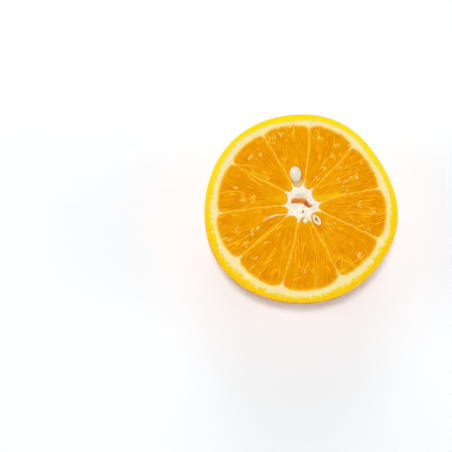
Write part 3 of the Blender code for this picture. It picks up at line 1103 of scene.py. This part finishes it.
def core_table():
    """The turn and the radius of the core's edge about its own centre."""
    turns, radii = [], []
    share = np.linspace(0, 1, 40)
    for number in range(10):
        x, y = segment_place(number, np.zeros(len(share)), share)
        turns.append(turn_of(x - CORE_CENTRE[0], y - CORE_CENTRE[1]))
        radii.append(np.hypot(x - CORE_CENTRE[0], y - CORE_CENTRE[1]))
    return in_order(turns, radii)


def depth_inside(x, y, outline):
    """How far inside an outline a point lies, and less than nothing outside it, in metres."""
    corners = np.array(outline) * MM
    nearest_edge = np.full(np.shape(x), 1.0)
    inside = np.zeros(np.shape(x), bool)
    for start, end in zip(corners, np.roll(corners, -1, axis=0)):
        run = end - start
        gap = gap_from(x, y, start, run, share_along(x, y, start, run))
        nearest_edge = np.minimum(nearest_edge, gap)
        crosses = (start[1] > y) != (end[1] > y)
        reach = start[0] + (y - start[1]) / (run[1] if run[1] else 1e-9) * run[0]
        inside ^= crosses & (x < reach)
    return np.where(inside, nearest_edge, -nearest_edge)


def ragged(x, y, seed):
    """Small and smaller swells that make an outline look torn."""
    broad = 0.16 * MM * swell(x / (0.9 * MM), y / (0.9 * MM), seed)
    return broad + 0.10 * MM * swell(x / (0.35 * MM), y / (0.35 * MM), seed + 5)


core_turns, core_radii = core_table()
core = start_piece(
    "core_pith", "circle", vertices=CORE_SIDES, radius=CORE_RADIUS, fill_type="NGON", location=(0, 0, CUT_Z)
)
edit(core)
for _ in range(CORE_RINGS):
    bpy.ops.mesh.inset(thickness=CORE_RADIUS * 0.97 / CORE_RINGS)
select_open_edges()
core_rings = [(CORE_RADIUS * 0.96, CUT_Z - 9 * MM), (CORE_RADIUS * 0.5, CUT_Z - CORE_DEPTH)]
extrude_rings(core_rings, CORE_RADIUS, CUT_Z)
bpy.ops.mesh.edge_face_add()
finish_edit(core)
print("core's radius, mm:", round(core_radii.min() / MM, 1), "to", round(core_radii.max() / MM, 1))

# %% [markdown]
# The relief of the core is one sum of depths. Its outlines are first made ragged, as torn pith is,
# and crevices between the puffs run from the rim to the hollow. Along the hollow's lower side the
# pith stands up in a lip, and from the other side its wall slopes down.

# %% The core's relief
x, y, z = points_of(core)
turn = turn_of(x, y)
reach = np.interp(turn, core_turns, core_radii, period=math.tau) + 0.12 * MM
flat = np.hypot(x, y) / CORE_RADIUS * reach
x, y = [middle + row for middle, row in zip(CORE_CENTRE, polar(flat, turn))]
waved_x, waved_y = x + ragged(x, y, 81), y + ragged(x, y, 82)
inside = depth_inside(waved_x, waved_y, HOLLOW_NORTH + HOLLOW_SOUTH) + 0.15 * MM
north, south = [np.interp(x, *np.array(sorted(side)).T * MM) for side in (HOLLOW_NORTH, HOLLOW_SOUTH)]
down = np.clip((north - y) / np.maximum(north - south, 0.2 * MM), 0, 1)
crisp = smooth(-0.05 * MM, 0.35 * MM, inside)
hollow_share = crisp * np.maximum(down, smooth(2.4 * MM, 3.0 * MM, x))
hollow = HOLLOW_DEPTH * crisp * smooth(-0.1, 0.8, hollow_share) * (1 - 0.6 * smooth(2.2 * MM, 3.4 * MM, x))
funnel = pocket_drop(x, y, *FUNNEL)
lip = 0.40 * MM * smooth(1.6 * MM, 0.3 * MM, -inside) * smooth(3.2 * MM, 1.2 * MM, y)
lip = lip * smooth(0, 0.1 * MM, -inside)
rough = 0.5 + smooth(0.8 * MM, 2.4 * MM, x) * smooth(-1.0 * MM, 0.5 * MM, y)
fine = swell(x / (0.7 * MM), y / (0.7 * MM), 84)
puff = 0.20 * MM * swell(x / (1.2 * MM), y / (1.2 * MM), 83) + 0.12 * MM * fine * rough
crease = 0.4 * smooth(-0.25, -0.85, fine) * np.clip(rough - 0.6, 0, 1)
for start, end, width in CREVICES:
    start, run = line(start, end)
    gap = gap_from(waved_x, waved_y, start, run, share_along(x, y, start, run))
    crease = np.maximum(crease, np.exp(-((gap / (width * MM)) ** 2)))
pit = pocket_drop(x, y, *CORE_PIT)
rim = smooth(0, 0.8 * MM, reach - flat)
sunk_seeds = pocket_drop(x, y, *CUT_SEED_POCKET) + pocket_drop(x, y, *SCRAP_POCKET)
drop = hollow + funnel + pit + 0.15 * MM * (1 - rim) - (lip + puff) * rim
drop = drop + 0.3 * MM * crease + sunk_seeds
top = z > CUT_Z - 0.01 * MM
set_points(core, x, y, np.where(top, CUT_Z - 0.12 * MM - drop, z))
off_red = ((x - 1.9 * MM) / (0.8 * MM)) ** 2 + ((y - 1.8 * MM) / (1.3 * MM)) ** 2
# These numbers carry painted shade in the crevices, funnel and pit, and painted glow in the hollow.
keep_numbers(
    core,
    hollow_share=np.where(top, hollow_share, 0),
    hollow_red=crisp * np.exp(-off_red),
    crease=crease,
    funnel_mm=funnel / MM,
    pit_mm=pit / MM,
    core_rim=1 - rim,
)
print("core faces:", len(core.data.polygons), "deepest, mm:", round(drop.max() / MM, 1))

# %% [markdown]
# The core's pith is white and puffy where it was torn. Its hollow is painted orange, redder in one spot,
# for the glow of light that has gone through the flesh, and its crevices, funnel and pit get painted shade.

# %% The core's finish
def puffy_pith():
    """Torn pith: a dry white puff with no gloss, soft to light, painted warm in the hollow for its glow and
    with painted shade in its crevices, funnel and pit.
    """
    material, tree, shader = new_material("puffy_core_pith", 0.8, 0.05, 0.3, (1, 0.75, 0.5))
    layers = (
        (0.9, 0.35, 0.65, "F7F3EA"),
        # Painted shade in the crevices between the puffs.
        ("crease", 0.0, 1.3, "CFC48C"),
        ("core_rim", 0.0, 1.0, "F9E09A"),
        # Painted shade: the funnel goes cream as its slope sinks.
        ("funnel_mm", 0.30, 0.72, "F2E0B8"),
        ("funnel_mm", 0.60, 0.82, "F0D8AC"),
        # Painted glow: the hollow goes from cream to orange as it deepens, and redder in one spot.
        ("hollow_share", 0.02, 0.14, "EEC88A"),
        ("hollow_share", 0.08, 0.34, "EAA650"),
        ("hollow_share", 0.34, 0.66, "E8983C"),
        ("hollow_red", 0.0, 1.2, "D8682A"),
        # Painted shade in the small pit.
        ("pit_mm", 0.05, 0.36, "B8A05C"),
    )
    paint(tree, shader, "EEE6D4", layers)
    place = add(tree, "TexCoord", {}, "Object")
    grain = add(tree, "TexNoise", {0: place, 2: 1 / (0.35 * MM), 3: 4.0})
    raised = add(tree, "Bump", {"Height": grain, "Strength": 0.5, "Distance": 0.08 * MM})
    tree.links.new(raised, shader.inputs["Normal"])
    return material


dress(core, "pith", puffy_pith())
print("core's height, mm:", round(core.dimensions.z / MM, 1))

# %% [markdown]
# ### Seeds and scraps
#
# Three seeds lie on the cut: one whole, one cut through and a scrap of a third. A seed is a ball,
# drawn out to a point at the end that faced the core.

# %% The seeds
WHOLE_SEED = ((-2.1, 13.5), (3.6, 2.5, 1.9), 100)
SCRAP = ((1.6, -5.5), (1.2, 0.98, 0.8), 80)
CUT_SEED = ((6.05, -5.0), (2.5, 1.32, 1.2), 303)


def seed_ball(name, spot, sizes, turn_degrees, proud, point=0.35):
    """A ball shaped to a seed, from half its length, width and height and how proud it stands, in mm."""
    piece = start_piece(name, "uv_sphere", segments=64, ring_count=40, radius=1, rotation=(0, math.pi / 2, 0))
    x, y, z = points_of(piece)
    taper = 1 - point * smooth(0, 1, -x) ** 2
    ridge = 1 + 0.012 * np.cos(np.arctan2(z, y) * 14) * (1 - x**2)
    x, y, z = x * sizes[0] * MM, y * sizes[1] * MM * taper * ridge, z * sizes[2] * MM * taper * ridge
    way_x, way_y = turned(x, y, turn_degrees)
    set_points(piece, spot[0] * MM + way_x, spot[1] * MM + way_y, CUT_Z + z + (proud - sizes[2]) * MM)
    keep_numbers(piece, seed_end=x / (sizes[0] * MM))
    edit(piece)
    finish_edit(piece, 60)
    return piece


def seed_finish(name, pale, warm, tip):
    """A seed's slippery coat, which shines, paler and warmer in patches and darker at its point."""
    layers = ((2.0, 0.35, 0.65, warm), ("seed_end", -0.55, -1.0, tip))
    numbers = {"roughness": 0.4, "shine": 0.3, "soft": 0.3, "soft_radius": (1, 0.8, 0.6), "coat": 0.2}
    return painted(name, pale, layers, **numbers)


whole_seed = seed_ball("whole_seed", *WHOLE_SEED, proud=1.0)
scrap = seed_ball("seed_scrap", *SCRAP, proud=0.7)
dress(whole_seed, "seed", seed_finish("pale_seed_coat", "F0EBDC", "E2DAC4", "E0D0A0"))
dress(scrap, "seed", seed_finish("cream_seed_scrap", "FFF3D8", "FBE6B4", "F5D68C"))
print("whole seed, mm long:", round(whole_seed.dimensions.y / MM, 1))

# %% [markdown]
# The third seed was cut through. The knife's plane is a bisect with a fill. The fill is extruded in
# steps, each drawn in towards the seed's middle, which sinks the kernel a little inside its cream rim.

# %% The cut seed
CUT_SEED_RISE = 0.34 * MM
# Each ring has its share of the seed's outline and how far it rises in millimetres.
KERNEL_RINGS = (
    (0.95, 0.05), (0.82, 0.02), (0.74, -0.08), (0.69, -0.12), (0.62, -0.04),
    (0.5, 0), (0.38, 0), (0.26, 0), (0.14, 0),
)

cut_seed = seed_ball("cut_seed", *CUT_SEED, proud=1.15, point=0.4)
seed_centre = [part * MM for part in CUT_SEED[0]]
edit(cut_seed)
cut_level(CUT_Z + CUT_SEED_RISE, clear_outer=True)
select_flat(cut_seed, CUT_Z + CUT_SEED_RISE)
past = 1.0
for share, rise in KERNEL_RINGS:
    bpy.ops.mesh.extrude_region_move(TRANSFORM_OT_translate={"value": (0, 0, rise * MM)})
    bpy.ops.transform.resize(value=(share / past, share / past, 1), center_override=(*seed_centre, CUT_Z))
    past = share
finish_edit(cut_seed, 80)
x, y, z = points_of(cut_seed)
along, aside = turned(x / MM - CUT_SEED[0][0], y / MM - CUT_SEED[0][1], -CUT_SEED[2])
kernel = smooth(1.0, 0.86, np.hypot(along / (CUT_SEED[1][0] - 0.75), aside / (CUT_SEED[1][1] - 0.62)))
keep_numbers(
    cut_seed,
    kernel=kernel * (z > CUT_Z),
    bruise=smooth(1.0, 0.35, np.hypot((along + 0.25) / 0.9, (aside + 0.1) / 0.6)),
    grey=smooth(1.0, 0.3, np.hypot((along - 0.75) / 0.9, (aside - 0.3) / 0.6)),
)
# A cream coat round a beige kernel, half matt, with the brown point where the kernel has shrunk.
layers = (
    (1.5, 0.35, 0.65, "F2DFAE"),
    ("kernel", 0.0, 1.0, "DCC6A2"),
    ("grey", 0.0, 1.0, "C8C0B0"),
    ("bruise", 0.0, 1.0, "7A4222"),
)
kernel_finish = painted(
    "cut_seed_kernel", "F8EAC4", layers, roughness=0.45, shine=0.2, soft=0.2, soft_radius=(1, 0.8, 0.6)
)
dress(cut_seed, "seed", kernel_finish)
print("cut seed faces:", len(cut_seed.data.polygons))

# %% [markdown]
# ### A loose strand
#
# One strand of pith came loose and lies on the flesh. It is a grid rolled into a tube round a path,
# which is softened first so that it has no corners, and its seam and ends are closed by a merge.

# %% The loose strand
STRAND_PATH = (
    (-5.0, -3.0, 0.1), (-7.6, -2.95, 0.22), (-10.0, -3.25, 0.25),
    (-12.0, -3.9, 0.25), (-13.8, -4.7, 0.2), (-15.6, -5.7, 0.0),
)
STRAND_RADII = (0.34, 0.30, 0.36, 0.38, 0.28, 0.10)
SOFTEN = 31


def softened(row):
    """A row of numbers with each one the mean of those round it."""
    return np.convolve(np.pad(row, SOFTEN // 2, "edge"), np.ones(SOFTEN) / SOFTEN, "valid")


strand = start_piece(
    "pith_strand", "grid", x_subdivisions=90, y_subdivisions=12, size=1, location=(0.5, 0.5, 0)
)
along, around, _ = points_of(strand)
steps, fine, coarse = [np.linspace(0, 1, count) for count in (len(STRAND_PATH), 200, 91)]
path = np.array(STRAND_PATH).T * MM
middle = [np.interp(along, fine, softened(np.interp(fine, steps, row))) for row in path]
way_x, way_y = [np.gradient(np.interp(coarse, steps, row)) for row in path[:2]]
heading = np.interp(along, coarse, np.arctan2(way_y, way_x) % math.tau)
radius = np.interp(along, steps, STRAND_RADII) * MM * (1 + 0.25 * swell(along * 16, 0.5, 91))
radius = radius * smooth(0, 0.03, along) * smooth(1, 0.97, along)
circle = around * math.tau
x = middle[0] - np.sin(heading) * radius * np.cos(circle)
y = middle[1] + np.cos(heading) * radius * np.cos(circle)
set_points(strand, x, y, CUT_Z + middle[2] + radius * np.sin(circle) * 0.7)
edit(strand)
bpy.ops.mesh.remove_doubles(threshold=1e-6)
finish_edit(strand, 80)
# A damp fibre of pith: half matt, cream with yellow stains of juice.
layers = ((1.2, 0.40, 0.62, "F9C95E"),)
dress(strand, "pith", painted("loose_pith_strand", "FAE2A6", layers, roughness=0.6, shine=0.2, soft=0.3))
print("strand faces:", len(strand.data.polygons))

# %% [markdown]
# ### Painted glints
#
# Small pale flecks stand for the glints of light on the wet flesh: they are painted highlights, in groups.
# Each group has a place and a spread in millimetres, a count and the way that its flecks point, in degrees.

# %% Groups of flecks
FLECK_GROUPS = (
    ((-20.3, 20.4), 1.3, 9, 40), ((-16.0, 21.6), 1.4, 5, -40),
    ((-8.6, 30.2), 1.6, 8, -60), ((-11.5, 28.5), 1.5, 5, -60),
    ((-3.2, 31.6), 1.8, 6, 80), ((8.6, 16.3), 0.9, 6, 45),
    ((6.4, 11.4), 0.9, 4, 55), ((12.6, 20.3), 0.8, 5, 50),
    ((14.8, 25.0), 1.2, 5, 65), ((7.2, 27.8), 1.6, 6, 70),
    ((15.6, 15.8), 0.8, 4, 30), ((21.8, 12.3), 0.9, 6, 20),
    ((17.4, 9.8), 1.0, 7, 15), ((14.9, 11.0), 1.0, 6, 20),
    ((20.0, 11.3), 0.9, 5, 20), ((16.5, 6.0), 1.3, 7, 10),
    ((-23.2, 3.3), 0.9, 6, 0), ((-26.0, 7.9), 1.0, 6, -20),
    ((-18.8, 3.9), 0.8, 4, -10), ((-24.9, -8.8), 1.0, 5, 35),
    ((-17.2, -8.4), 0.9, 5, 55), ((-19.4, -10.8), 0.9, 5, 50),
    ((-21.9, -14.7), 0.8, 6, 30), ((-29.3, -12.0), 1.4, 7, 30),
    ((-13.6, -14.3), 0.9, 4, 35), ((-18.6, -19.6), 1.2, 5, 45),
    ((-24.5, -20.0), 1.4, 5, -30), ((23.0, 0.8), 0.9, 4, 30),
    ((26.0, -8.8), 0.9, 4, -30), ((27.6, -1.8), 1.3, 7, 0),
    ((23.4, -18.7), 1.2, 6, 40), ((19.3, 25.2), 0.3, 3, 0),
    ((30.6, -6.0), 0.8, 3, 0), ((12.0, -7.5), 1.5, 4, -35),
    ((-0.4, -24.5), 1.6, 4, 85),
)
print("groups:", len(FLECK_GROUPS), "flecks:", sum(group[2] for group in FLECK_GROUPS))

# %% [markdown]
# One fleck is modelled and copied, each copy with its own mesh, and made a drop that is wider at one
# end. Chance gives each its size, its turn and its place, a ray finds the flesh under it, and all
# are joined.

# %% The flecks
FLECK_LENGTH = 0.44 * MM
FLECK_LENGTHS = (0.5, 2.0)
FLECK_WIDTHS = (0.20, 0.33)
FLECK_HALF_HEIGHT = 0.07 * MM


def flesh_height(x, y):
    """How high the flesh stands at a place, found by a ray straight down."""
    above = Vector((x, y, CUT_Z + 5 * MM))
    hits = [segment.ray_cast(above, Vector((0, 0, -1))) for segment in segments]
    return max([place.z for found, place, _, _ in hits if found], default=CUT_Z - 0.5 * MM)


chance = np.random.default_rng(101)
# Each fleck is a painted highlight that stands for a glint.
first_fleck = start_piece("wet_fleck", "uv_sphere", segments=12, ring_count=7, radius=1)
flecks = []
for (group_x, group_y), spread, count, degrees in FLECK_GROUPS:
    for _ in range(count):
        copied = first_fleck.copy()
        copied.data = first_fleck.data.copy()
        bpy.context.collection.objects.link(copied)
        long = FLECK_LENGTH * chance.uniform(*FLECK_LENGTHS)
        wide = FLECK_LENGTH * chance.uniform(*FLECK_WIDTHS)
        x, y, z = points_of(copied)
        x, y = turned(x * long, y * wide * (1 + 0.3 * x), degrees + chance.normal(0, 9))
        place_x, place_y = chance.normal((group_x, group_y), spread * 0.6) * MM
        height = flesh_height(place_x, place_y) + z * FLECK_HALF_HEIGHT
        set_points(copied, place_x + x, place_y + y, height)
        flecks.append(copied)
bpy.data.objects.remove(first_fleck)
bpy.ops.object.select_all(action="DESELECT")
for piece in flecks:
    piece.select_set(True)
bpy.context.view_layer.objects.active = flecks[0]
bpy.ops.object.join()
flecks = bpy.context.object
flecks.name = flecks.data.name = "wet_flecks"
edit(flecks)
finish_edit(flecks, 80)
# Painted highlights: pale yellow, almost white in places, as the glints on juice are.
layers = ((1.0, 0.4, 0.55, "FFE66E"), (0.7, 0.52, 0.66, "FFF9C0"))
dress(flecks, "flesh", painted("wet_torn_sacs", "FFCC3C", layers, roughness=0.35, shine=0.05))
print("fleck faces:", len(flecks.data.polygons))

# %% [markdown]
# ## Floor and camera
#
# The table is a matt white board with the faintest glow of its own, which keeps it white in the
# shade. The camera looks down, ten degrees off square to the cut, so a sliver of the skin shows along
# the near side.

# %% The floor and the camera
floor = start_piece("floor", "plane", size=4.0)
# A matt board, with a glow so faint that it only lifts the shade.
material, _, shader = new_material("white_table", 0.6, 0.5)
shader.inputs["Base Color"].default_value = colour("F3F7FA")
shader.inputs["Emission Color"].default_value = colour("DCEEFF")
shader.inputs["Emission Strength"].default_value = 0.07
floor.data.materials.append(material)
floor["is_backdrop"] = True

CAMERA_DISTANCE = 493.4 * MM
CAMERA_TARGET = np.array((-29.6, -7.46, 38.6)) * MM
CAMERA_ELEVATION = 80
tilt = math.radians(CAMERA_ELEVATION)
place = CAMERA_TARGET + CAMERA_DISTANCE * np.array((0, -math.cos(tilt), math.sin(tilt)))
bpy.ops.object.camera_add(location=place, rotation=(math.pi / 2 - tilt, 0, 0))
camera = bpy.context.object
camera.data.lens = 100
camera.data.sensor_width = 36
camera.data.clip_end = 10
bpy.context.scene.camera = camera
print("camera at, mm:", [round(float(v) / MM) for v in camera.location])

# %% [markdown]
# ## Light
#
# The light is a studio's: one small lamp nearly overhead, which keeps the shadow short, and four
# broad ones lower down, which fill it. The lamps above and behind are a little blue, and the weak one
# in front is warm, as is the world, so the shade under the fruit is warm and the top of it is not.

# %% The lamps
# Each lamp has a name, an azimuth and an elevation in degrees, a distance and a size in metres, its
# power in watts and its tint.
LAMPS = (
    ("key", 228, 84.5, 1.0, 0.10, 4.5, "F4FAFF"),
    ("back", 90, 28, 0.9, 0.6, 3.2, "F6FBFF"),
    ("left", 180, 28, 0.9, 0.6, 2.2, "FFFFFF"),
    ("front", 270, 28, 0.9, 0.6, 0.35, "FFD8B8"),
    ("right", 0, 28, 0.9, 0.6, 2.2, "FFFFFF"),
)


def area_light(name, place, size, watts, tint):
    """A round lamp that shines on the origin."""
    bpy.ops.object.light_add(type="AREA", location=place)
    light = bpy.context.object
    light.name = name
    light.data.shape = "DISK"
    light.data.size, light.data.energy, light.data.color = size, watts, colour(tint)[:3]
    light.rotation_euler = (-Vector(place)).to_track_quat("-Z", "Y").to_euler()


for name, azimuth, elevation, distance, size, watts, tint in LAMPS:
    flat, up = math.cos(math.radians(elevation)), math.sin(math.radians(elevation))
    way = np.array((flat * math.cos(math.radians(azimuth)), flat * math.sin(math.radians(azimuth)), up))
    area_light(name, distance * way, size, watts, tint)
world = bpy.data.worlds.new("studio")
bpy.context.scene.world = world
world.use_nodes = True
background = world.node_tree.nodes["Background"]
background.inputs["Color"].default_value = colour("FFEEDE")
background.inputs["Strength"].default_value = 0.22
bpy.context.scene.view_settings.view_transform = "Standard"
print("lamps:", len(LAMPS), "watts in all:", round(sum(lamp[5] for lamp in LAMPS), 2))

# %% [markdown]
# ## The last sizes
#
# The dressed half should be as large as its plain solid, so the bounds of both are printed.

# %% Sizes
final_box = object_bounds()
boxes = {"solid": [list(corner) for corner in solid_box], "visual": [list(corner) for corner in final_box]}
for name, box in boxes.items():
    print(name, [[round(v / MM, 1) for v in corner] for corner in box])
